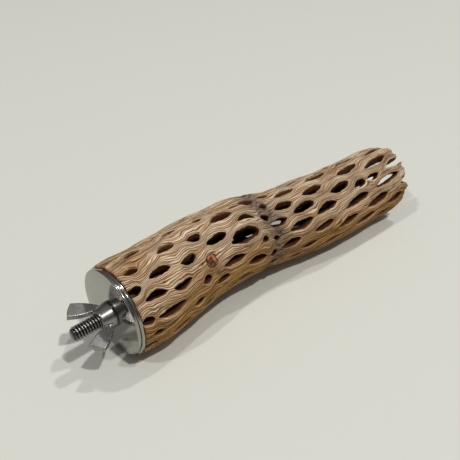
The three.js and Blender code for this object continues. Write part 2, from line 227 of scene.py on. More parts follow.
def find_holes():
    """Every hole as its file, middle, half length, half width and shift off the file."""
    found = []

    def add(file, x, half, width, shift=0):
        found.append({"file": file, "x": x, "half": half, "width": width, "shift": shift})

    for file, rows in MEASURED.items():
        for x, half, width, shift in rows:
            flare = JOINT_FLARE if abs(x - JOINT_CENTRE) < JOINT_REACH else LIP_FLARE
            add(file, x, half, width + flare, shift)
    seen = found + [GUM]

    def is_seen(file, x):
        return any(hole["file"] == file and abs(hole["x"] - x) < OWN_LENGTH for hole in seen)

    # Every kind of draw starts at a number of its own
    count = 0
    for file in range(FILES):
        x = NEAR_FIRST + (NEAR_STEP * file) % NEAR_PITCH - NEAR_PITCH
        while x < NEAR_LAST:
            count += 1
            half = drawn(*NEAR_HALF, count)
            width = drawn(*NEAR_WIDTH, count + 500)
            middle = x + NEAR_SCATTER * (draw(count + 900) - 0.5)
            if middle + half >= SAWN_END + SAWN_MARGIN and not is_seen(file, x):
                add(file, middle, half, width)
            x += NEAR_PITCH
    for k in range(math.ceil(growth_count(BROKEN_END + FAR_PAST_END))):
        x = FAR_FIRST + FAR_RISE * k + FAR_GROWTH * k * k + FAR_SCATTER * (draw(k + 3000) - 0.5)
        file = (FAR_FILE + FILES_PER_TURN_STEP * k) % FILES
        half = (FAR_HALF + FAR_HALF_GROWTH * k) * drawn(*FAR_HALF_SHARE, k + 2000)
        width = drawn(*FAR_WIDTH, k + 2500)
        if not is_seen(file, x):
            add(file, x, half, width)
    for file in range(FILES):
        x = JOINT_CENTRE + JOINT_SCATTER * (draw(file + 4000) - 0.5)
        half = drawn(*JOINT_HALF, file + 4500)
        gaps = [abs(hole["x"] - x) - hole["half"] for hole in found if hole["file"] == file]
        if min(gaps) > half + JOINT_CLEAR:
            add(file, x, half, JOINT_WIDTH)
    return found


def opening(hole, x):
    """How far a hole is open at x, 0 at its tips and 1 at its widest. Its far tip is the blunter one."""
    t = np.clip((x - hole["x"]) / hole["half"], -1, 1)
    blunt = drawn(*BLUNT_TIP, round(hole["x"]) + 7 * hole["file"])
    widest = (SHARP_TIP - blunt) / (SHARP_TIP + blunt)
    full = (1 - widest) ** blunt * (1 + widest) ** SHARP_TIP
    return (1 - t) ** blunt * (1 + t) ** SHARP_TIP / full


def off_file(lines, hole):
    """Degrees of each strand line from the middle of a hole's file."""
    return (lines - FIRST_FILE - FILE_ANGLE * hole["file"] + 540) % 360 - 180


def strand_angles(x, lines, side, share):
    """Angle of every strand line at every x once the holes have pushed it aside, from the top towards -Y."""
    angles = lines[None, :] + twist(x)[:, None]
    for hole in holes + [GUM]:
        off = off_file(lines, hole)
        near = np.nonzero(np.abs(off) < SPREAD)[0]
        own_side = 0 if hole is GUM else side
        way = np.where(np.abs(off[near]) < ON_FILE, own_side, np.sign(off[near]))
        push = np.degrees(hole["width"] / station(x, 2)) * share * opening(hole, x)
        bend = hole["shift"] * np.exp(-(((x - hole["x"]) / (hole["half"] + BEND_MORE)) ** 2))
        # The added phases keep the two lips, and one hole and the next, from matching
        uneven = np.sin(LONG_WAVE * x[:, None] + 2.1 * way + hole["x"])
        uneven = uneven + SHORT_SHARE * np.sin(SHORT_WAVE * x[:, None] + 4 * way + 5 * hole["file"])
        torn_push = push[:, None] * way * (1 + LIP_UNEVEN * uneven)
        angles[:, near] += (torn_push + bend[:, None]) * (1 - np.abs(off[near]) / SPREAD) ** 2
    return np.radians(angles)


def grain(around, along, cells, length, seed):
    """Smooth random relief from -1 to 1 on the stem: cells round it, a new value every length along it."""
    longest = 400
    values = np.random.default_rng(seed).uniform(-1, 1, (cells, int(longest / length) + 4))
    u = np.broadcast_to(around * cells, np.broadcast(around, along).shape)
    v = np.broadcast_to(along / length + 1, u.shape)
    i = np.floor(u).astype(int)
    j = np.clip(np.floor(v).astype(int), 0, values.shape[1] - 2)
    p = u - i
    q = np.clip(v - j, 0, 1)
    p = p * p * (3 - 2 * p)
    q = q * q * (3 - 2 * q)
    low = values[i % cells, j] * (1 - p) + values[(i + 1) % cells, j] * p
    high = values[i % cells, j + 1] * (1 - p) + values[(i + 1) % cells, j + 1] * p
    return low * (1 - q) + high * q


holes = find_holes()
row_x = np.linspace(SAWN_END, BROKEN_END, ROWS + 1)
row_radius = station(row_x, 2)
outer_lines = FIRST_FILE + 360 / COLUMNS * np.arange(COLUMNS)
inner_lines = FIRST_FILE + FILE_ANGLE / INNER_PER_FILE * np.arange(FILES * INNER_PER_FILE)
outer_angle = {side: strand_angles(row_x, outer_lines, side, 1.0) for side in (-1, 1)}
inner_angle = {side: strand_angles(row_x, inner_lines, side, INNER_OPENING) for side in (-1, 1)}

is_slit = np.zeros((ROWS + 1, FILES), bool)
for hole in holes:
    is_slit[opening(hole, row_x) > SLIT_FROM, hole["file"]] = True

# Relief of the outside
STEM_RADIUS = 19.2
STEM_ROUND = 2 * math.pi * STEM_RADIUS
STRAND_RISE = 0.35
SWELL = 0.3
LIP_DROP = 0.55
LIP_ROUND = 0.5
LIP_CURVE = 1.5
LIP_SMOOTHING = 0.4
LIP_REACH = 7
FULLY_OPEN = 0.5
TIP_FURROW = 0.5
FURROW_WIDTH = 0.7
FURROW_LENGTH = 2.4
CORD_PITCH = 1.75
CORD_DEPTH = 0.36
CORD_STRENGTH = (0.65, 0.35)
CRACK_DEPTH = 0.45
CRACK_SWAY = 0.7
CRACK_NARROWNESS = 5
CRACKED_AREA = (-0.3, 0.4)
JOINT_SHIFT = 2.2
JOINT_SWAY = 2.2
JOINT_SPREAD = 6.2
JOINT_VALLEY = 0.8
JOINT_LUMPS = 0.55
JOINT_WRINKLES = 0.25
GUM_PIT = 1.3
PIT_HALF_WIDTH = 2.6
PIT_HALF_LENGTH = 3.0
PIT_EDGE = (0.75, 1.15)
MM_PER_DEGREE = 0.35

# What the colours follow: dust in the joint, wear with a painted highlight on the lips, fibres crowded
# beside the holes, where more painted shade goes in the furrows, and the side that the sun bleached most, in
# degrees from the top towards -Y; away from it the wood is golden and darker, partly with painted shade
DUST_PATCHES = 0.35
WEAR_AND_HIGHLIGHT_AT = 0.4
WEAR_AND_HIGHLIGHT_WIDTH = 0.4
CROWDED_WIDTH = 2.4
SUNNY_SIDE = -12
SHELTER_AND_SHADE_SWAY = 14
SHELTERED_AND_SHADED = (45, 105)

# Random patterns on the stem: cells round it, millimetres along it, seed
GRAINS = {
    "wide wander": (26, 12, 1),
    "wander": (52, 5, 2),
    "fine wander": (90, 3.5, 14),
    "cord strength": (30, 9, 3),
    "cracks": (46, 19, 4),
    "cracked areas": (14, 17, 5),
    "joint line": (9, 400, 6),
    "swell": (15, 9, 7),
    "lumps": (34, 3.4, 8),
    "wrinkles": (64, 1.9, 13),
    "splinters": (150, 50, 9),
    "hollow": (30, 7, 10),
    "dust": (40, 4, 11),
    "shelter_and_painted_shade": (16, 14, 12),
}
WANDER = {"wide wander": 1.3, "wander": 0.5, "fine wander": 0.3}
around = ((outer_lines - FIRST_FILE) / 360)[None, :]
along = row_x[:, None]


def pattern(name, aside=0.0):
    """A named random pattern all over the outside, moved round the stem by a share of a turn."""
    return grain(around + aside, along, *GRAINS[name])


# Fibres wander a little across the strand lines, bunch up and spread again
wander = sum(amount * pattern(name) for name, amount in WANDER.items())
bent_lines = outer_lines[None, :] + 360 * wander / STEM_ROUND
cord_count = round(STEM_ROUND / CORD_PITCH)
cord_strength = CORD_STRENGTH[0] + CORD_STRENGTH[1] * pattern("cord strength")
cord_groove = (0.5 - 0.5 * np.cos(np.radians(bent_lines) * cord_count)) ** 2 * cord_strength
crack_line = pattern("cracks", CRACK_SWAY * wander / STEM_ROUND)
crack = np.clip(1 - np.abs(crack_line) * CRACK_NARROWNESS, 0, 1)
crack = crack * ease(pattern("cracked areas"), *CRACKED_AREA)
joint_line = JOINT_CENTRE + JOINT_SHIFT + JOINT_SWAY * pattern("joint line")
joint = np.exp(-(((along - joint_line) / JOINT_SPREAD) ** 2))
joint_dust = np.clip(joint * (1 + DUST_PATCHES * pattern("dust")), 0, 1)
from_sunny = np.abs((outer_lines[None, :] + twist(row_x)[:, None] - SUNNY_SIDE + 180) % 360 - 180)
# Golden, darker side away from the sun: partly wood the sun spared, partly painted shade on the underside
shelter_and_painted_shade = ease(from_sunny + SHELTER_AND_SHADE_SWAY * pattern("shelter_and_painted_shade"), *SHELTERED_AND_SHADED)

relief = STRAND_RISE * np.sin(math.pi * np.arange(COLUMNS) / PER_FILE)[None, :] ** 2
relief = relief + SWELL * pattern("swell")
relief = relief - CORD_DEPTH * cord_groove - CRACK_DEPTH * crack
wrinkle = JOINT_LUMPS * pattern("lumps") + JOINT_WRINKLES * pattern("wrinkles")
relief = relief - joint * (JOINT_VALLEY - wrinkle)
lip_wear_and_highlight, pit, lip_drop, crowded = np.zeros((4, *relief.shape))
for hole in holes + [GUM]:
    open_share = opening(hole, row_x)
    off = off_file(outer_lines, hole)
    near = np.nonzero(np.abs(off) < SPREAD)[0]
    rows = np.nonzero(np.abs(row_x - hole["x"]) < hole["half"] + LIP_REACH)[0]
    block = np.ix_(rows, near)
    lips = {side: outer_angle[side][rows, PER_FILE * hole["file"], None] for side in (-1, 1)}
    lip = np.where(off[near] < 0, lips[-1], lips[1])
    from_lip = np.abs(outer_angle[-1][block] - lip) * row_radius[rows, None]
    from_lip = np.where(np.abs(off[near]) < ON_FILE, 0, from_lip)
    is_open = ease(open_share[rows], 0.0, FULLY_OPEN)[:, None]
    past_tip = np.maximum(np.abs(row_x[rows] - hole["x"]) - hole["half"], 0)[:, None]
    rounding = np.exp(-((from_lip / LIP_ROUND) ** LIP_CURVE)) * is_open
    furrow = np.exp(-((from_lip / FURROW_WIDTH) ** 2)) * np.exp(-((past_tip / FURROW_LENGTH) ** 2))
    furrow = furrow * (1 - is_open)
    if hole is GUM:
        aside = off[near] * MM_PER_DEGREE / PIT_HALF_WIDTH
        ahead = (row_x[rows, None] - hole["x"]) / PIT_HALF_LENGTH
        pit[block] = np.maximum(pit[block], 1 - ease(np.sqrt(aside**2 + ahead**2), *PIT_EDGE))
    else:
        lip_drop[block] = np.maximum(lip_drop[block], LIP_DROP * rounding + TIP_FURROW * furrow)
        # Wear and a painted highlight: paler just inside each open lip
        lip_wear_and_highlight[block] = np.maximum(lip_wear_and_highlight[block], np.exp(-(((from_lip - WEAR_AND_HIGHLIGHT_AT) / WEAR_AND_HIGHLIGHT_WIDTH) ** 2)) * is_open)
    crowded[block] = np.maximum(crowded[block], np.exp(-((from_lip / CROWDED_WIDTH) ** 2)) * is_open)
relief = relief * (1 - LIP_SMOOTHING * lip_drop / LIP_DROP) - lip_drop - GUM_PIT * pit

# Where each strand snaps at the broken end, thinned and rounded over its last few millimetres
SPLINTER = 0.9
SPLINTERED_FROM = 168
THINNED_LENGTH = 7
OUTER_THINNING = 1.1
INNER_THINNING = 0.8
SLANT_TURN = 20
SNAP_DRAWS = 6000
cad_columns = 2 * FILES
snap_at = np.arange(COLUMNS) * cad_columns / COLUMNS
snap_low = draw(np.floor(snap_at) + SNAP_DRAWS)
snap_high = draw((np.floor(snap_at) + 1) % cad_columns + SNAP_DRAWS)
snap = BROKEN_RAGGED * (snap_low + (snap_high - snap_low) * (snap_at % 1) - 0.5)
splinter = SPLINTER * grain(around, np.zeros((1, 1)), *GRAINS["splinters"])[0]
thinning = ease(row_x, BROKEN_END - THINNED_LENGTH, BROKEN_END)


def broken_x(lines, snapped):
    """How far each strand's end is moved along the stem, at every row."""
    slant = BROKEN_SLANT * np.cos(np.radians(lines[None, :] + twist(row_x)[:, None] + SLANT_TURN))
    moved = ease(row_x, RAGGED_FROM, BROKEN_END)[:, None] * (slant + snapped[None, :])
    return row_x[:, None] + moved


splintered = ease(row_x, SPLINTERED_FROM, BROKEN_END)[:, None]
outer_x = broken_x(outer_lines, snap) + splinter[None, :] * splintered
inner_x = broken_x(inner_lines, np.interp(inner_lines, outer_lines, snap))


def on_stem(x, middle_y, middle_z, radius, angle):
    """Points at a radius and an angle round the stem, none of them below the ground."""
    y = middle_y - radius * np.sin(angle)
    z = np.maximum(middle_z + radius * np.cos(angle), 0)
    return np.stack(np.broadcast_arrays(x, y, z), -1)


HOLLOW_ROUGH = 0.45
outer_radius = row_radius[:, None] + relief - OUTER_THINNING * thinning[:, None]
drilled = row_x < BORE_END
inner_radius = np.where(drilled, BORE_RADIUS, row_radius - WALL)
inner_y = np.where(drilled, 0, station(row_x, 1))
inner_z = np.where(drilled, BOLT_HEIGHT, axis_z(row_x))
inner_around = ((inner_lines - FIRST_FILE) / 360)[None, :]
hollow = HOLLOW_ROUGH * grain(inner_around, along, *GRAINS["hollow"]) * ~drilled[:, None]
outer_point = {}
inner_point = {}
for side in (-1, 1):
    outer_point[side] = on_stem(
        outer_x, station(row_x, 1)[:, None], axis_z(row_x)[:, None], outer_radius, outer_angle[side]
    )
    inner_point[side] = on_stem(
        inner_x, inner_y[:, None], inner_z[:, None],
        inner_radius[:, None] + hollow + INNER_THINNING * thinning[:, None], inner_angle[side],
    )

# Shares of the painted shade in the furrows, the cracks and the gum's pit, and the roughness of the holes'
# walls
CORD_PAINTED_SHADE = 0.5
CROWDED_PAINTED_SHADE = 0.6
CRACK_PAINTED_SHADE = 0.9
PIT_PAINTED_SHADE = 0.5
WALL_ROUGH = 0.03
WALL_GRAIN = (18, 2.6)
WALL_SEED = 20
WALL_SIDE_STEP = 0.02
WALL_FIBRE_TURN = 40

# Every grid point has a left and a right copy, which differ only on the lips of a hole
points = []
fibre_at = []
shade_at = []


def add_points(where, line, s, depth, groove, rim, dust, shade):
    """Adds points with what the wood's colours need there, and gives back their numbers."""
    first = sum(len(block) for block in points)
    where = where.reshape(-1, 3)
    full = [np.broadcast_to(value, len(where)) for value in (line, s, depth, shade, groove, rim, dust)]
    turn = np.radians(full[0])
    points.append(where)
    fibre_at.append(np.stack([STEM_RADIUS * np.cos(turn), STEM_RADIUS * np.sin(turn), full[1]], -1))
    shade_at.append(np.stack(full[2:], -1))
    return first + np.arange(len(where))


# Painted shade: darker in the cords' furrows, most beside the holes, in the cracks and in the gum's pit
groove = (CORD_PAINTED_SHADE + CROWDED_PAINTED_SHADE * crowded) * cord_groove + CRACK_PAINTED_SHADE * crack + PIT_PAINTED_SHADE * pit
groove = np.clip(groove, 0, 1)
row_grid = np.broadcast_to(along, relief.shape)
outer_left = add_points(
    outer_point[-1], bent_lines.ravel(), row_grid.ravel(), 0.0, groove.ravel(), lip_wear_and_highlight.ravel(),
    joint_dust.ravel(), shelter_and_painted_shade.ravel(),
).reshape(ROWS + 1, COLUMNS)
outer_right = outer_left.copy()
inner_left = add_points(
    inner_point[-1], np.tile(inner_lines, ROWS + 1), np.repeat(row_x, len(inner_lines)),
    1.0, 0.0, 0.0, 0.0, 1.0,
).reshape(ROWS + 1, -1)
inner_right = inner_left.copy()
wall_left = np.zeros((ROWS + 1, FILES, len(WALL_STEPS)), int)
wall_right = wall_left.copy()
for file in range(FILES):
    column = PER_FILE * file
    inner_column = INNER_PER_FILE * file
    slit_rows = np.nonzero(is_slit[:, file])[0]
    outer_right[slit_rows, column] = add_points(
        outer_point[1][slit_rows, column], bent_lines[slit_rows, column], row_x[slit_rows], 0.0,
        groove[slit_rows, column], lip_wear_and_highlight[slit_rows, column], joint_dust[slit_rows, column],
        shelter_and_painted_shade[slit_rows, column],
    )
    inner_right[slit_rows, inner_column] = add_points(
        inner_point[1][slit_rows, inner_column], inner_lines[inner_column], row_x[slit_rows],
        1.0, 0.0, 0.0, 0.0, 1.0,
    )
    beside = is_slit[:, file].copy()
    beside[1:] |= is_slit[:-1, file]
    beside[:-1] |= is_slit[1:, file]
    wall_rows = np.nonzero(beside)[0]
    for step, depth in enumerate(WALL_STEPS):
        for side, wall in ((-1, wall_left), (1, wall_right)):
            out = outer_point[side][wall_rows, column]
            inn = inner_point[side][wall_rows, inner_column]
            lip_around = np.array(file / FILES + WALL_SIDE_STEP * side)
            rough = WALL_ROUGH * grain(lip_around, row_x[wall_rows], *WALL_GRAIN, WALL_SEED + step)
            where = out + (inn - out) * (depth + rough)[:, None]
            line = outer_lines[column] + side * WALL_FIBRE_TURN * depth
            wall[wall_rows, file, step] = add_points(
                where, line, row_x[wall_rows], depth, 0.0, 0.0,
                joint_dust[wall_rows, column], shelter_and_painted_shade[wall_rows, column],
            )
        closed = wall_rows[~is_slit[wall_rows, file]]
        wall_right[closed, file, step] = wall_left[closed, file, step]

faces = []


def add_quads(a, b, c, d):
    faces.append(np.stack([np.ravel(corner) for corner in (a, b, c, d)], -1))


next_left = np.roll(outer_left, -1, axis=1)
add_quads(outer_right[:-1], next_left[:-1], next_left[1:], outer_right[1:])
next_inner = np.roll(inner_left, -1, axis=1)
add_quads(inner_right[:-1], inner_right[1:], next_inner[1:], next_inner[:-1])
for file in range(FILES):
    rows = np.nonzero(is_slit[:-1, file] | is_slit[1:, file])[0]
    column = PER_FILE * file
    inner_column = INNER_PER_FILE * file
    left = [outer_left[:, column], *wall_left[:, file].T, inner_left[:, inner_column]]
    right = [outer_right[:, column], *wall_right[:, file].T, inner_right[:, inner_column]]
    for upper, lower in zip(right[:-1], right[1:]):
        add_quads(upper[rows], upper[rows + 1], lower[rows + 1], lower[rows])
    for upper, lower in zip(left[:-1], left[1:]):
        add_quads(upper[rows + 1], upper[rows], lower[rows], lower[rows + 1])

end_faces = []
for file in range(FILES):
    for row in (0, ROWS):
        columns = PER_FILE * file + np.arange(1, PER_FILE)
        rim = [outer_right[row, PER_FILE * file], *outer_left[row, columns]]
        rim.append(outer_left[row, PER_FILE * (file + 1) % COLUMNS])
        inner_columns = INNER_PER_FILE * file + np.arange(1, INNER_PER_FILE)
        inside = [inner_right[row, INNER_PER_FILE * file], *inner_left[row, inner_columns]]
        inside.append(inner_left[row, INNER_PER_FILE * (file + 1) % len(inner_lines)])
        for k in range(PER_FILE):
            m = round(k * INNER_PER_FILE / PER_FILE)
            after = round((k + 1) * INNER_PER_FILE / PER_FILE)
            made = [(rim[k + 1], rim[k], inside[m])]
            if after != m:
                made.append((rim[k + 1], inside[m], inside[after]))
            end_faces += made if row == 0 else [corners[::-1] for corners in made]


def new_piece(name, vertices, polygons, material):
    """A smooth-shaded mesh object, with its points already in the part's frame."""
    mesh = bpy.data.meshes.new(name)
    mesh.from_pydata(vertices, [], polygons)
    mesh.shade_smooth()
    mesh.materials.append(material)
    piece = bpy.data.objects.new(name, mesh)
    bpy.context.scene.collection.objects.link(piece)
    return piece


def linear(colour, alpha=1.0):
    """An sRGB hex colour as linear red, green, blue and alpha."""
    channels = [int(colour[i:i + 2], 16) / 255 for i in (1, 3, 5)]
    return tuple(c / 12.92 if c <= 0.04045 else ((c + 0.055) / 1.055) ** 2.4 for c in channels) + (alpha,)


def add_node(tree, kind, values=None, links=None, **settings):
    """A node with its settings, its unlinked values and its links from other nodes' outputs."""
    node = tree.nodes.new(kind)
    for key, value in settings.items():
        setattr(node, key, value)
    for socket, value in (values or {}).items():
        node.inputs[socket].default_value = value
    for socket, source in (links or {}).items():
        tree.links.new(source, node.inputs[socket])
    return node


# Sockets of a colour mix: the share of the second colour, the two colours and the result
SHARE = 0
FIRST = 6
SECOND = 7
MIXED = 2


def new_material(name):
    """An empty node material and its tree, for a Principled shader to be added to."""
    material = bpy.data.materials.new(name)
    material.use_nodes = True
    material.node_tree.nodes.clear()
    return material, material.node_tree


# Sun-bleached cactus wood: matt tan fibres with painted shade in the furrows between them, more golden and
# darker on the sides that the sun reached least, partly with painted shade, paler on the lips of the holes
# with wear and a painted highlight, grey-brown with bark dust in the joint, brown on the walls of the holes,
# and nearly black with painted shade inside the stem
# Single fibres are some 0.3 mm apart on the real wood, too fine to show, so only two are drawn on each
# cord of the mesh
FIBRES_PER_CORD = 2
FIBRE_SWAY = 4.5
FIBRE_BUMP = 0.18
HAIR_BUMP = 0.15

# Patterns drawn out along the fibres: width and length in millimetres, detail, roughness
WOOD_PATTERNS = {
    "streaks": (1.1, 16, 3.0, 0.6),
    "hairs": (0.5, 13, 2.0, 0.5),
    "patches": (11, 26, 2.0, 0.5),
    "sways": (2.0, 5, 2.0, 0.5),
    "creases": (1.1, 2.8, 2.0, 0.6),
}
cactus_wood, tree = new_material("weathered_cholla_wood")
fibre = add_node(tree, "ShaderNodeAttribute", attribute_name="fibre")
shade = add_node(tree, "ShaderNodeAttribute", attribute_name="shade")
depth_in = add_node(tree, "ShaderNodeAttribute", attribute_name="depth").outputs["Fac"]
sheltered_and_shaded = add_node(tree, "ShaderNodeAttribute", attribute_name="shelter_and_painted_shade").outputs["Fac"]
furrow_shade, wear_and_highlight, dusty = add_node(tree, "ShaderNodeSeparateXYZ", links={0: shade.outputs["Vector"]}).outputs
source = {}
for name, (width, length, detail, roughness) in WOOD_PATTERNS.items():
    stretched = add_node(
        tree, "ShaderNodeMapping", {"Scale": (1 / width, 1 / width, 1 / length)},
        {"Vector": fibre.outputs["Vector"]},
    )
    noise = add_node(
        tree, "ShaderNodeTexNoise", {"Scale": 1.0, "Detail": detail, "Roughness": roughness},
        {"Vector": stretched.outputs[0]},
    )
    source[name] = noise.outputs["Fac"]

# How much there is of each tone and coat: what it follows, the range of that, the range given
share = {}
for name, follows, low, high, least, most in (
    ("streak", source["streaks"], 0.32, 0.66, 0.0, 1.0),
    ("line depth", source["streaks"], 0.34, 0.64, 1.0, 0.55),
    ("patch", source["patches"], 0.4, 0.75, 0.0, 0.6),
    ("hair", source["hairs"], 0.44, 0.32, 0.0, 0.55),
    ("furrow", furrow_shade, 0.25, 0.9, 0.0, 0.55),
    ("lip_wear_and_highlight", wear_and_highlight, 0.0, 1.0, 0.0, 0.35),
    ("crease", source["creases"], 0.6, 0.42, 0.0, 1.0),
    ("dust", dusty, 0.0, 1.0, 0.0, 0.85),
    ("wall", depth_in, 0.02, 0.16, 0.0, 1.0),
    # Painted shade: nearly black deep in the walls and inside the stem
    ("inner_painted_shade", depth_in, 0.4, 1.0, 0.0, 1.0),
    ("dryness", source["streaks"], 0.0, 1.0, 0.7, 0.9),
):
    ramp = add_node(
        tree, "ShaderNodeMapRange", {"From Min": low, "From Max": high, "To Min": least, "To Max": most},
        {"Value": follows},
    )
    share[name] = ramp.outputs[0]
share["gold_and_shade"] = add_node(
    tree, "ShaderNodeMath", links={0: share["patch"], 1: sheltered_and_shaded}, operation="MAXIMUM"
).outputs[0]

# Dark lines between the fibres, which sway from side to side: grain, and painted shade in the grooves
# between them
round_stem = add_node(tree, "ShaderNodeSeparateXYZ", links={0: fibre.outputs["Vector"]})
turn = add_node(
    tree, "ShaderNodeMath", links={0: round_stem.outputs[1], 1: round_stem.outputs[0]}, operation="ARCTAN2"
)
fibre_turn = add_node(
    tree, "ShaderNodeMath", {1: FIBRES_PER_CORD * cord_count}, {0: turn.outputs[0]}, operation="MULTIPLY"
)
fibre_phase = add_node(
    tree, "ShaderNodeMath", {1: FIBRE_SWAY}, {0: source["sways"], 2: fibre_turn.outputs[0]},
    operation="MULTIPLY_ADD",
)
fibre_wave = add_node(
    tree, "ShaderNodeMath", links={0: fibre_phase.outputs[0]}, operation="COSINE"
).outputs[0]
share["line"] = add_node(
    tree, "ShaderNodeMapRange", {"From Min": -0.1, "From Max": -0.85},
    {"Value": fibre_wave, "To Max": share["line depth"]}, interpolation_type="SMOOTHSTEP",
).outputs[0]

tone = {}
for name, follows, first, second in (
    ("bleached", "streak", "#C08D52", "#FFEACF"),
    # Golden and darker on the underside, partly painted shade
    ("golden_and_shaded", "streak", "#8A5F27", "#CE9E5A"),
    ("dust", "crease", "#8A7260", "#281911"),
    ("wall", "streak", "#421A05", "#8A4A18"),
):
    tone[name] = add_node(
        tree, "ShaderNodeMix", {FIRST: linear(first), SECOND: linear(second)}, {SHARE: share[follows]},
        data_type="RGBA",
    ).outputs[MIXED]
colour = tone["bleached"]
for name, coat in (
    ("gold_and_shade", tone["golden_and_shaded"]),
    ("hair", "#754A1C"),
    # Grain, and painted shade in the grooves between the fibres
    ("line", "#371C07"),
    # Painted shade in the furrows, the cracks and the gum's pit
    ("furrow", "#3F220C"),
    # Wear and a painted highlight on the lips
    ("lip_wear_and_highlight", "#F0CFA2"),
    ("dust", tone["dust"]),
    ("wall", tone["wall"]),
    # Painted shade: nearly black inside the stem
    ("inner_painted_shade", "#1F0700"),
):
    is_plain = isinstance(coat, str)
    values = {SECOND: linear(coat)} if is_plain else {}
    links = {SHARE: share[name], FIRST: colour} | ({} if is_plain else {SECOND: coat})
    colour = add_node(tree, "ShaderNodeMix", values, links, data_type="RGBA").outputs[MIXED]
hair_bump = add_node(
    tree, "ShaderNodeBump", {"Strength": 0.5, "Distance": HAIR_BUMP * MM}, {"Height": source["hairs"]}
)
fibre_bump = add_node(
    tree, "ShaderNodeBump", {"Strength": 0.8, "Distance": FIBRE_BUMP * MM},
    {"Height": fibre_wave, "Normal": hair_bump.outputs[0]},
)
surface = add_node(
    tree, "ShaderNodeBsdfPrincipled", {"IOR": 1.5, "Specular IOR Level": 0.35},
    {"Base Color": colour, "Roughness": share["dryness"], "Normal": fibre_bump.outputs[0]},
)
add_node(tree, "ShaderNodeOutputMaterial", links={"Surface": surface.outputs[0]})

stem_points = placed(np.concatenate(points))
stem_faces = np.concatenate(faces).tolist() + end_faces
skeleton = new_piece("skeleton_wood", stem_points.tolist(), stem_faces, cactus_wood)
shades = np.concatenate(shade_at)
for name, kind, key, values in (
    ("fibre", "FLOAT_VECTOR", "vector", np.concatenate(fibre_at)),
    ("shade", "FLOAT_VECTOR", "vector", shades[:, 2:]),
    ("depth", "FLOAT", "value", shades[:, 0]),
    ("shelter_and_painted_shade", "FLOAT", "value", shades[:, 1]),
):
    attribute = skeleton.data.attributes.new(name, kind, "POINT")
    attribute.data.foreach_set(key, np.ravel(values).astype(np.float32))
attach(skeleton, "perch")
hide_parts("cholla_skeleton")

# Dried gum.
# A lump of sap that bled into one hole while the cactus lived and set hard, like crumbs of amber glued
# together. It fills a shallow pit in the wood.

GUM_RADII = (2.6, 2.4, 1.25)
GUM_SINK = 0.75
CRUMBS = 44
CRUMB_HEIGHT = 0.42
CRUMB_REACH = 0.46
CRUMB_LEVEL = 0.6
CRUMB_SEED = 31
gum_shape = bmesh.new()
bmesh.ops.create_icosphere(gum_shape, subdivisions=5, radius=1)
ball = np.array([vertex.co for vertex in gum_shape.verts])
gum_faces = [[vertex.index for vertex in face.verts] for face in gum_shape.faces]
gum_shape.free()
crumb_at = np.random.default_rng(CRUMB_SEED).normal(size=(CRUMBS, 3))
crumb_at /= np.linalg.norm(crumb_at, axis=1)[:, None]
nearest = np.linalg.norm(ball[:, None] - crumb_at[None], axis=2).min(axis=1)
crumbs = np.sqrt(np.clip(1 - (nearest / CRUMB_REACH) ** 2, 0, 1))
gum_ball = ball * (1 + CRUMB_HEIGHT * (crumbs - CRUMB_LEVEL))[:, None] * np.array(GUM_RADII)
gum_turn = math.radians(FIRST_FILE + FILE_ANGLE * GUM["file"] + GUM["shift"])
outward = np.array([0, -math.sin(gum_turn), math.cos(gum_turn)])
sideways = np.array([0, -math.cos(gum_turn), -math.sin(gum_turn)])
gum_x = np.array(float(GUM["x"]))
gum_middle = np.array([gum_x, station(gum_x, 1), axis_z(gum_x)])
gum_middle = gum_middle + (station(gum_x, 2) - GUM_SINK) * outward
gum_points = gum_middle + gum_ball @ np.stack([np.array([1.0, 0, 0]), sideways, outward])

# Hard plant gum: dark red-brown crumbs with amber among them, some glossy and some dull
CRUMB_SIZE = 1.3
plant_gum, tree = new_material("dried_plant_gum")
position = add_node(tree, "ShaderNodeTexCoord")
clots = add_node(
    tree, "ShaderNodeTexNoise", {"Scale": 1 / (CRUMB_SIZE * MM), "Detail": 2.0},
    {"Vector": position.outputs["Object"]},
)
clot_share = add_node(
    tree, "ShaderNodeMapRange", {"From Min": 0.44, "From Max": 0.66}, {"Value": clots.outputs["Fac"]}
)
amber = add_node(
    tree, "ShaderNodeMix", {FIRST: linear("#3A1206"), SECOND: linear("#BE7020")},
    {SHARE: clot_share.outputs[0]}, data_type="RGBA",
)
gloss = add_node(
    tree, "ShaderNodeMapRange", {"To Min": 0.25, "To Max": 0.6}, {"Value": clots.outputs["Fac"]}
)
surface = add_node(
    tree, "ShaderNodeBsdfPrincipled", {"IOR": 1.54},
    {"Base Color": amber.outputs[MIXED], "Roughness": gloss.outputs[0]},
)
add_node(tree, "ShaderNodeOutputMaterial", links={"Surface": surface.outputs[0]})
gum = new_piece("dried_gum", placed(gum_points).tolist(), gum_faces, plant_gum)
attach(gum, "perch")

# End plug.
# A length of hardwood dowel glued into the drilled end of the stem, which gives the bolt sound wood to
# bite in. It is cut flush with the sawn end, has a chamfered inner end and a blind pilot hole.

PLUG_RADIUS = 13.8
PLUG_END = 37
PLUG_CHAMFER = 1
PILOT_RADIUS = 3.475
PILOT_END = 34
PLUG_EASE = 0.3
PLUG_SIDES = 96
PLUG_CREASE = 40
AXIS_GAP = 0.05
MOST_OF_SIDE = 0.45


def turned(outline, sides, middle_y=0.0, middle_z=BOLT_HEIGHT):
    """Points and faces of a closed outline of x and radius, turned about a line beside the bolt's axis."""
    angles = 2 * math.pi * np.arange(sides) / sides
    rings = [
        (x, middle_y + radius * math.cos(angle), middle_z + radius * math.sin(angle))
        for x, radius in outline for angle in angles
    ]
    count = len(outline)
    made = []
    for ring in range(count):
        after = (ring + 1) % count
        for side in range(sides):
            beside = (side + 1) % sides
            made.append((
                ring * sides + side, after * sides + side, after * sides + beside, ring * sides + beside,
            ))
    return placed(rings).tolist(), made


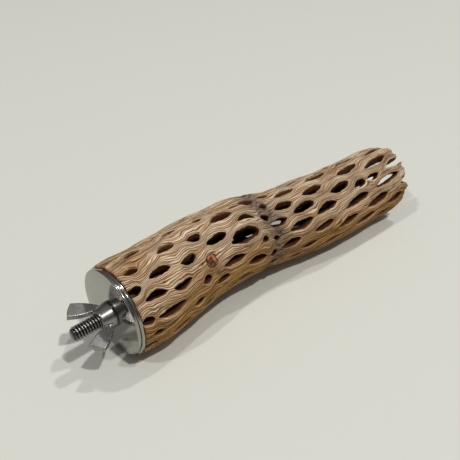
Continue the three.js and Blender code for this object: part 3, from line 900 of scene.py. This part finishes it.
def eased_corners(outline, radius, steps=4):
    """A closed outline with every corner replaced by a short round."""
    made = []
    corners = np.array(outline, float)
    for i, corner in enumerate(corners):
        before = corners[i - 1] - corner
        after = corners[(i + 1) % len(corners)] - corner
        reach = min(radius, MOST_OF_SIDE * np.linalg.norm(before), MOST_OF_SIDE * np.linalg.norm(after))
        start = corner + before / np.linalg.norm(before) * reach
        stop = corner + after / np.linalg.norm(after) * reach
        for t in np.linspace(0, 1, steps + 1):
            made.append(tuple((1 - t) ** 2 * start + 2 * t * (1 - t) * corner + t * t * stop))
    return made


# Birch dowel: brown all over with old glue and dirt, with fine straight pores along its length
PORE_WIDTH = 0.5
PORE_LENGTH = 14
PORE_DEPTH = 0.1
dowel_wood, tree = new_material("birch_dowel")
position = add_node(tree, "ShaderNodeTexCoord")
pore_at = add_node(
    tree, "ShaderNodeMapping",
    {"Scale": (1 / (PORE_LENGTH * MM), 1 / (PORE_WIDTH * MM), 1 / (PORE_WIDTH * MM))},
    {"Vector": position.outputs["Object"]},
)
pores = add_node(tree, "ShaderNodeTexNoise", {"Scale": 1.0, "Detail": 3.0}, {"Vector": pore_at.outputs[0]})
dowel_colour = add_node(
    tree, "ShaderNodeMix", {FIRST: linear("#3E240E"), SECOND: linear("#74471F")},
    {SHARE: pores.outputs["Fac"]}, data_type="RGBA",
)
pore_bump = add_node(
    tree, "ShaderNodeBump", {"Strength": 0.4, "Distance": PORE_DEPTH * MM}, {"Height": pores.outputs["Fac"]}
)
surface = add_node(
    tree, "ShaderNodeBsdfPrincipled", {"IOR": 1.5, "Roughness": 0.7},
    {"Base Color": dowel_colour.outputs[MIXED], "Normal": pore_bump.outputs[0]},
)
add_node(tree, "ShaderNodeOutputMaterial", links={"Surface": surface.outputs[0]})
plug_outline = [
    (SAWN_END, PILOT_RADIUS), (PILOT_END, PILOT_RADIUS), (PILOT_END, AXIS_GAP), (PLUG_END, AXIS_GAP),
    (PLUG_END, PLUG_RADIUS - PLUG_CHAMFER), (PLUG_END - PLUG_CHAMFER, PLUG_RADIUS), (SAWN_END, PLUG_RADIUS),
]
plug = new_piece("dowel_plug", *turned(eased_corners(plug_outline, PLUG_EASE), PLUG_SIDES), dowel_wood)
plug.data.set_sharp_from_angle(angle=math.radians(PLUG_CREASE))
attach(plug, "perch")
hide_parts("end_plug")

# Hanger bolt.
# A headless steel stud, screwed into the plug with a coarse wood thread and cut with a quarter-inch
# machine thread outside for the nut. Both threads are rolled, so their crests are smooth.

THREAD_RADIUS = 6.35 / 2
THREAD_PITCH = 1.27
THREAD_DEPTH = 0.7
THREAD_RUN = 6
BOLT_REACH = 18.5
SCREW_PITCH = 2.8
SCREW_DEPTH = 1.0
SCREW_END = 33
SCREW_TAPER = 6
SCREW_POINT = 0.12
TIP_ROUND = 0.4
RIDGE_TOP = 1.7
RIDGE_SLOPE = 4.4
BOLT_SIDES = 48
BOLT_CREASE = 60
STEPS_PER_TURN = 12


def ridge(turns):
    """Height of a thread's ridge at a point of its turn, 0 in the groove and 1 on the crest."""
    phase = turns - np.floor(turns)
    return ease(RIDGE_TOP - np.abs(phase - 0.5) * RIDGE_SLOPE, 0, 1)


machine_x = np.arange(-BOLT_REACH, THREAD_RUN, THREAD_PITCH / STEPS_PER_TURN)
screw_x = np.arange(THREAD_RUN, SCREW_END, SCREW_PITCH / STEPS_PER_TURN)
bolt_turn = np.arange(BOLT_SIDES) / BOLT_SIDES
lead = np.clip((machine_x + BOLT_REACH) / THREAD_PITCH, 0, 1)[:, None]
machine_crest = ridge(machine_x[:, None] / THREAD_PITCH - bolt_turn[None, :]) * lead
machine_radius = THREAD_RADIUS - THREAD_DEPTH * (1 - machine_crest)
tip_round = np.clip(1 - (machine_x + BOLT_REACH) / TIP_ROUND, 0, 1)[:, None] ** 2
machine_radius = machine_radius - TIP_ROUND * tip_round
taper = np.clip((SCREW_END - screw_x) / SCREW_TAPER, SCREW_POINT, 1)[:, None]
screw_crest = ridge(screw_x[:, None] / SCREW_PITCH - bolt_turn[None, :])
screw_radius = taper * (THREAD_RADIUS - SCREW_DEPTH * (1 - screw_crest))
bolt_crest = np.concatenate([machine_crest, screw_crest])
bolt_x = np.concatenate([machine_x, screw_x])[:, None]
bolt_radius = np.concatenate([machine_radius, screw_radius])
bolt_y = bolt_radius * np.cos(2 * math.pi * bolt_turn)
bolt_z = BOLT_HEIGHT + bolt_radius * np.sin(2 * math.pi * bolt_turn)
bolt_points = np.stack(np.broadcast_arrays(bolt_x, bolt_y, bolt_z), -1).reshape(-1, 3)
bolt_rings = len(bolt_x)
bolt_index = np.arange(bolt_rings * BOLT_SIDES).reshape(bolt_rings, BOLT_SIDES)
beside = np.roll(bolt_index, -1, axis=1)
bolt_quads = np.stack([bolt_index[:-1], beside[:-1], beside[1:], bolt_index[1:]], -1)
bolt_faces = bolt_quads.reshape(-1, 4).tolist()
bolt_faces.append(bolt_index[0, ::-1].tolist())
bolt_faces.append(bolt_index[-1].tolist())

# Bright zinc on rolled steel: a grey satin shine, hazed by handling, with painted shade dark in the roots of
# the thread
HAZE_SIZE = 2.5
bright_zinc, tree = new_material("bright_zinc_steel")
position = add_node(tree, "ShaderNodeTexCoord")
haze = add_node(
    tree, "ShaderNodeTexNoise", {"Scale": 1 / (HAZE_SIZE * MM), "Detail": 3.0, "Roughness": 0.6},
    {"Vector": position.outputs["Object"]},
)
haze_gloss = add_node(
    tree, "ShaderNodeMapRange", {"From Min": 0.3, "From Max": 0.7, "To Min": 0.24, "To Max": 0.31},
    {"Value": haze.outputs["Fac"]},
)
haze_colour = add_node(
    tree, "ShaderNodeMix", {FIRST: linear("#8C8A88"), SECOND: linear("#A09E9B")},
    {SHARE: haze.outputs["Fac"]}, data_type="RGBA",
)
painted_root_shade = add_node(tree, "ShaderNodeAttribute", attribute_name="painted_root_shade")
root_shaded_colour = add_node(
    tree, "ShaderNodeMix", {SECOND: linear("#34302F")},
    {SHARE: painted_root_shade.outputs["Fac"], FIRST: haze_colour.outputs[MIXED]}, data_type="RGBA",
)
surface = add_node(
    tree, "ShaderNodeBsdfPrincipled", {"Metallic": 1.0},
    {"Base Color": root_shaded_colour.outputs[MIXED], "Roughness": haze_gloss.outputs[0]},
)
add_node(tree, "ShaderNodeOutputMaterial", links={"Surface": surface.outputs[0]})
bolt = new_piece("hanger_bolt_thread", placed(bolt_points).tolist(), bolt_faces, bright_zinc)
# Painted shade: the thread's roots darker than its crests
attribute = bolt.data.attributes.new("painted_root_shade", "FLOAT", "POINT")
attribute.data.foreach_set("value", np.ravel(1 - bolt_crest).astype(np.float32))
bolt.data.set_sharp_from_angle(angle=math.radians(BOLT_CREASE))
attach(bolt, "perch")
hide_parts("hanger_bolt")

# Inner washer.
# A wide fender washer stamped from sheet steel and polished, which bears on the sawn wood.

WASHER_RADIUS = 20
WASHER_THICKNESS = 1.6
WASHER_HOLE_RADIUS = 4.3
WASHER_EDGE = 0.6
WASHER_SIDES = 160
INNER_SLIP = (-0.5, -0.1)


def washer_outline(front):
    """Half of a washer's section, from x of its front face."""
    back = front + WASHER_THICKNESS
    corners = [
        (front, WASHER_HOLE_RADIUS), (back, WASHER_HOLE_RADIUS),
        (back, WASHER_RADIUS), (front, WASHER_RADIUS),
    ]
    return eased_corners(corners, WASHER_EDGE)


# Polished stainless sheet: a soft grey mirror, with faint rubbing marks and finger haze
RUB_SIZE = 6
SCRATCH_WIDTH = 0.35
SCRATCH_LENGTH = 8
SCRATCH_TURN = 25
SCRATCH_DEPTH = 0.02
polished_sheet, tree = new_material("polished_stainless_sheet")
position = add_node(tree, "ShaderNodeTexCoord")
rubs = add_node(
    tree, "ShaderNodeTexNoise", {"Scale": 1 / (RUB_SIZE * MM), "Detail": 4.0, "Roughness": 0.6},
    {"Vector": position.outputs["Object"]},
)
rub_gloss = add_node(
    tree, "ShaderNodeMapRange", {"From Min": 0.3, "From Max": 0.7, "To Min": 0.1, "To Max": 0.17},
    {"Value": rubs.outputs["Fac"]},
)
scratch_at = add_node(
    tree, "ShaderNodeMapping",
    {
        "Scale": (1 / (SCRATCH_LENGTH * MM), 1 / (SCRATCH_WIDTH * MM), 1 / (SCRATCH_LENGTH * MM)),
        "Rotation": (math.radians(SCRATCH_TURN), 0, 0),
    },
    {"Vector": position.outputs["Object"]},
)
scratches = add_node(
    tree, "ShaderNodeTexNoise", {"Scale": 1.0, "Detail": 2.0}, {"Vector": scratch_at.outputs[0]}
)
scratch_bump = add_node(
    tree, "ShaderNodeBump", {"Strength": 0.08, "Distance": SCRATCH_DEPTH * MM},
    {"Height": scratches.outputs["Fac"]},
)
sheet_colour = add_node(
    tree, "ShaderNodeMix", {FIRST: linear("#989891"), SECOND: linear("#A8A8A1")},
    {SHARE: rubs.outputs["Fac"]}, data_type="RGBA",
)
surface = add_node(
    tree, "ShaderNodeBsdfPrincipled", {"Metallic": 1.0},
    {
        "Base Color": sheet_colour.outputs[MIXED], "Roughness": rub_gloss.outputs[0],
        "Normal": scratch_bump.outputs[0],
    },
)
add_node(tree, "ShaderNodeOutputMaterial", links={"Surface": surface.outputs[0]})
inner_washer = new_piece(
    "fender_washer_inner",
    *turned(washer_outline(WASHER_THICKNESS), WASHER_SIDES, INNER_SLIP[0], BOLT_HEIGHT + INNER_SLIP[1]),
    polished_sheet,
)
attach(inner_washer, "perch")
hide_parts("inner_washer")

# Outer washer.
# A second washer of the same kind, loose on the bolt. The cage's bars are gripped between the two.

OUTER_SLIP = (0.1, 0.5)
outer_washer = new_piece(
    "fender_washer_outer",
    *turned(washer_outline(0.0), WASHER_SIDES, OUTER_SLIP[0], BOLT_HEIGHT + OUTER_SLIP[1]),
    polished_sheet,
)
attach(outer_washer, "outer_washer")
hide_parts("outer_washer")

# Wing nut.
# A cold-forged steel nut: a low round hub with two flat fan-shaped wings, plated after forging. It
# turns on the machine thread by hand and presses the outer washer.

HUB_OUTLINE = [(0, 3.5), (0, 5.9), (-0.8, 5.9), (-6.0, 4.8), (-6.4, 4.4), (-6.4, 3.5)]
HUB_ROUND = 0.5
HUB_SIDES = 96
NUT_CREASE = 38
WING_HALF_THICKNESS = 1.4
WING_BEVEL = 0.35
WING_GROWN = 0.3
WING_STEPS = 12
WING_TURN = 195
WING_CURVES = [
    ((-1.2, 4.2), (-3.4, 9.4), (-11.2, 13.5)),
    ((-11.2, 13.5), (-14.6, 11.6), (-16.2, 8.0)),
    ((-16.2, 8.0), (-11.0, 4.9), (-6.0, 4.2)),
    ((-6.0, 4.2), (-4.0, 3.9), (-1.2, 4.2)),
]


def wing_solid(turn):
    """One wing as an extruded, bevelled outline, turned about the bolt's axis by so many degrees."""
    outline = []
    for start, pull, stop in np.array(WING_CURVES):
        for t in np.linspace(0, 1, WING_STEPS, endpoint=False):
            outline.append((1 - t) ** 2 * start + 2 * t * (1 - t) * pull + t * t * stop)
    outline = np.array(outline)
    tangent = np.roll(outline, -1, axis=0) - np.roll(outline, 1, axis=0)
    normal = np.stack([-tangent[:, 1], tangent[:, 0]], -1) / np.linalg.norm(tangent, axis=1)[:, None]
    outline = outline + WING_GROWN * normal
    shape = bmesh.new()
    low = [shape.verts.new((x, y, -WING_HALF_THICKNESS)) for x, y in outline]
    base = shape.faces.new(low)
    raised = bmesh.ops.extrude_face_region(shape, geom=[base])["geom"]
    top = [item for item in raised if isinstance(item, bmesh.types.BMVert)]
    bmesh.ops.translate(shape, verts=top, vec=(0, 0, 2 * WING_HALF_THICKNESS))
    rims = [edge for edge in shape.edges if abs(edge.verts[0].co.z - edge.verts[1].co.z) < 1e-6]
    bmesh.ops.bevel(shape, geom=rims, offset=WING_BEVEL, segments=3, affect="EDGES", profile=0.5)
    bmesh.ops.recalc_face_normals(shape, faces=shape.faces)
    shape.verts.index_update()
    angle = math.radians(turn)
    made = [
        (
            v.co.x,
            v.co.y * math.cos(angle) - v.co.z * math.sin(angle),
            BOLT_HEIGHT + v.co.y * math.sin(angle) + v.co.z * math.cos(angle),
        )
        for v in shape.verts
    ]
    wing_faces = [[v.index for v in face.verts] for face in shape.faces]
    shape.free()
    return placed(made).tolist(), wing_faces


hub = turned(eased_corners(HUB_OUTLINE[::-1], HUB_ROUND), HUB_SIDES)
wing_nut = new_piece("wing_nut_forged", *hub, bright_zinc)
wings = [new_piece(f"wing_{turn}", *wing_solid(turn), bright_zinc) for turn in (WING_TURN, WING_TURN - 180)]
for wing in wings:
    union = wing_nut.modifiers.new("join", "BOOLEAN")
    union.operation = "UNION"
    union.solver = "EXACT"
    union.object = wing
joined = bpy.data.meshes.new_from_object(wing_nut.evaluated_get(bpy.context.evaluated_depsgraph_get()))
wing_nut.modifiers.clear()
wing_nut.data = joined
for wing in wings:
    bpy.data.objects.remove(wing)
joined.shade_smooth()
joined.set_sharp_from_angle(angle=math.radians(NUT_CREASE))
flats = wing_nut.modifiers.new("flat faces", "WEIGHTED_NORMAL")
flats.keep_sharp = True
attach(wing_nut, "wing_nut")
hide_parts("wing_nut")

# Table, light and camera.
# A plain off-white table top in a dim grey room, which is palest overhead and along its far walls, three
# small lamps high above, and the camera over the bolt's end.

TABLE_HALF = 4.0
matt_board, tree = new_material("matt_white_board")
surface = add_node(
    tree, "ShaderNodeBsdfPrincipled",
    {"Base Color": linear("#DFDFD7"), "Roughness": 0.6, "Specular IOR Level": 0.2},
)
add_node(tree, "ShaderNodeOutputMaterial", links={"Surface": surface.outputs[0]})
table_corners = [
    (-TABLE_HALF, -TABLE_HALF, 0), (TABLE_HALF, -TABLE_HALF, 0),
    (TABLE_HALF, TABLE_HALF, 0), (-TABLE_HALF, TABLE_HALF, 0),
]
table = new_piece("table_top", table_corners, [(0, 1, 2, 3)], matt_board)

# Each lamp's direction from the table's middle, and its power
LAMPS = [
    ("lamp_front", (0.06, -0.45, 1.0), 66),
    ("lamp_bolt_end", (-0.64, 0.08, 1.0), 31),
    ("lamp_far_end", (0.5, 0.05, 1.0), 32),
]
LAMP_DISTANCE = 4.0
LAMP_SIZE = 0.2
for name, direction, power in LAMPS:
    lamp = bpy.data.lights.new(name, "AREA")
    lamp.shape = "DISK"
    lamp.size = LAMP_SIZE
    lamp.energy = power
    lamp.color = linear("#FFFEFB")[:3]
    holder = bpy.data.objects.new(name, lamp)
    away = np.array(direction) / np.linalg.norm(direction)
    holder.location = tuple(away * LAMP_DISTANCE)
    holder.rotation_euler = (math.acos(away[2]), 0, math.atan2(away[1], away[0]) + math.pi / 2)
    bpy.context.scene.collection.objects.link(holder)

room = bpy.data.worlds.new("indoor_grey")
room.use_nodes = True
tree = room.node_tree
tree.nodes.clear()
direction = add_node(tree, "ShaderNodeTexCoord")
height = add_node(tree, "ShaderNodeSeparateXYZ", links={0: direction.outputs["Generated"]})
ceiling = add_node(
    tree, "ShaderNodeMapRange", {"From Min": 0.0, "From Max": 1.0, "To Min": 0.04, "To Max": 0.25},
    {"Value": height.outputs[2]}, interpolation_type="SMOOTHSTEP",
)
far_wall = add_node(
    tree, "ShaderNodeMapRange", {"From Min": 0.1, "From Max": 0.26, "To Min": 0.36, "To Max": 0.0},
    {"Value": height.outputs[2]}, interpolation_type="SMOOTHSTEP",
)
glow = add_node(
    tree, "ShaderNodeMath", links={0: ceiling.outputs[0], 1: far_wall.outputs[0]}, operation="MAXIMUM"
)
sky = add_node(tree, "ShaderNodeBackground", {"Color": linear("#FFFFFF")}, {"Strength": glow.outputs[0]})
add_node(tree, "ShaderNodeOutputWorld", links={"Surface": sky.outputs[0]})
bpy.context.scene.world = room
bpy.context.scene.view_settings.view_transform = "Standard"

SENSOR_WIDTH = 36
LENS = 46.96
CAMERA_AT = (-87.95, -169.02, 195.50)
CAMERA_DOWN = 35.67
CAMERA_TURN = -42.69
eye = bpy.data.cameras.new("camera")
eye.sensor_width = SENSOR_WIDTH
eye.lens = LENS
camera = bpy.data.objects.new("camera", eye)
camera.location = placed(CAMERA_AT)
camera.rotation_euler = (math.radians(90 - CAMERA_DOWN), 0, math.radians(CAMERA_TURN))
bpy.context.scene.collection.objects.link(camera)
bpy.context.scene.camera = camera
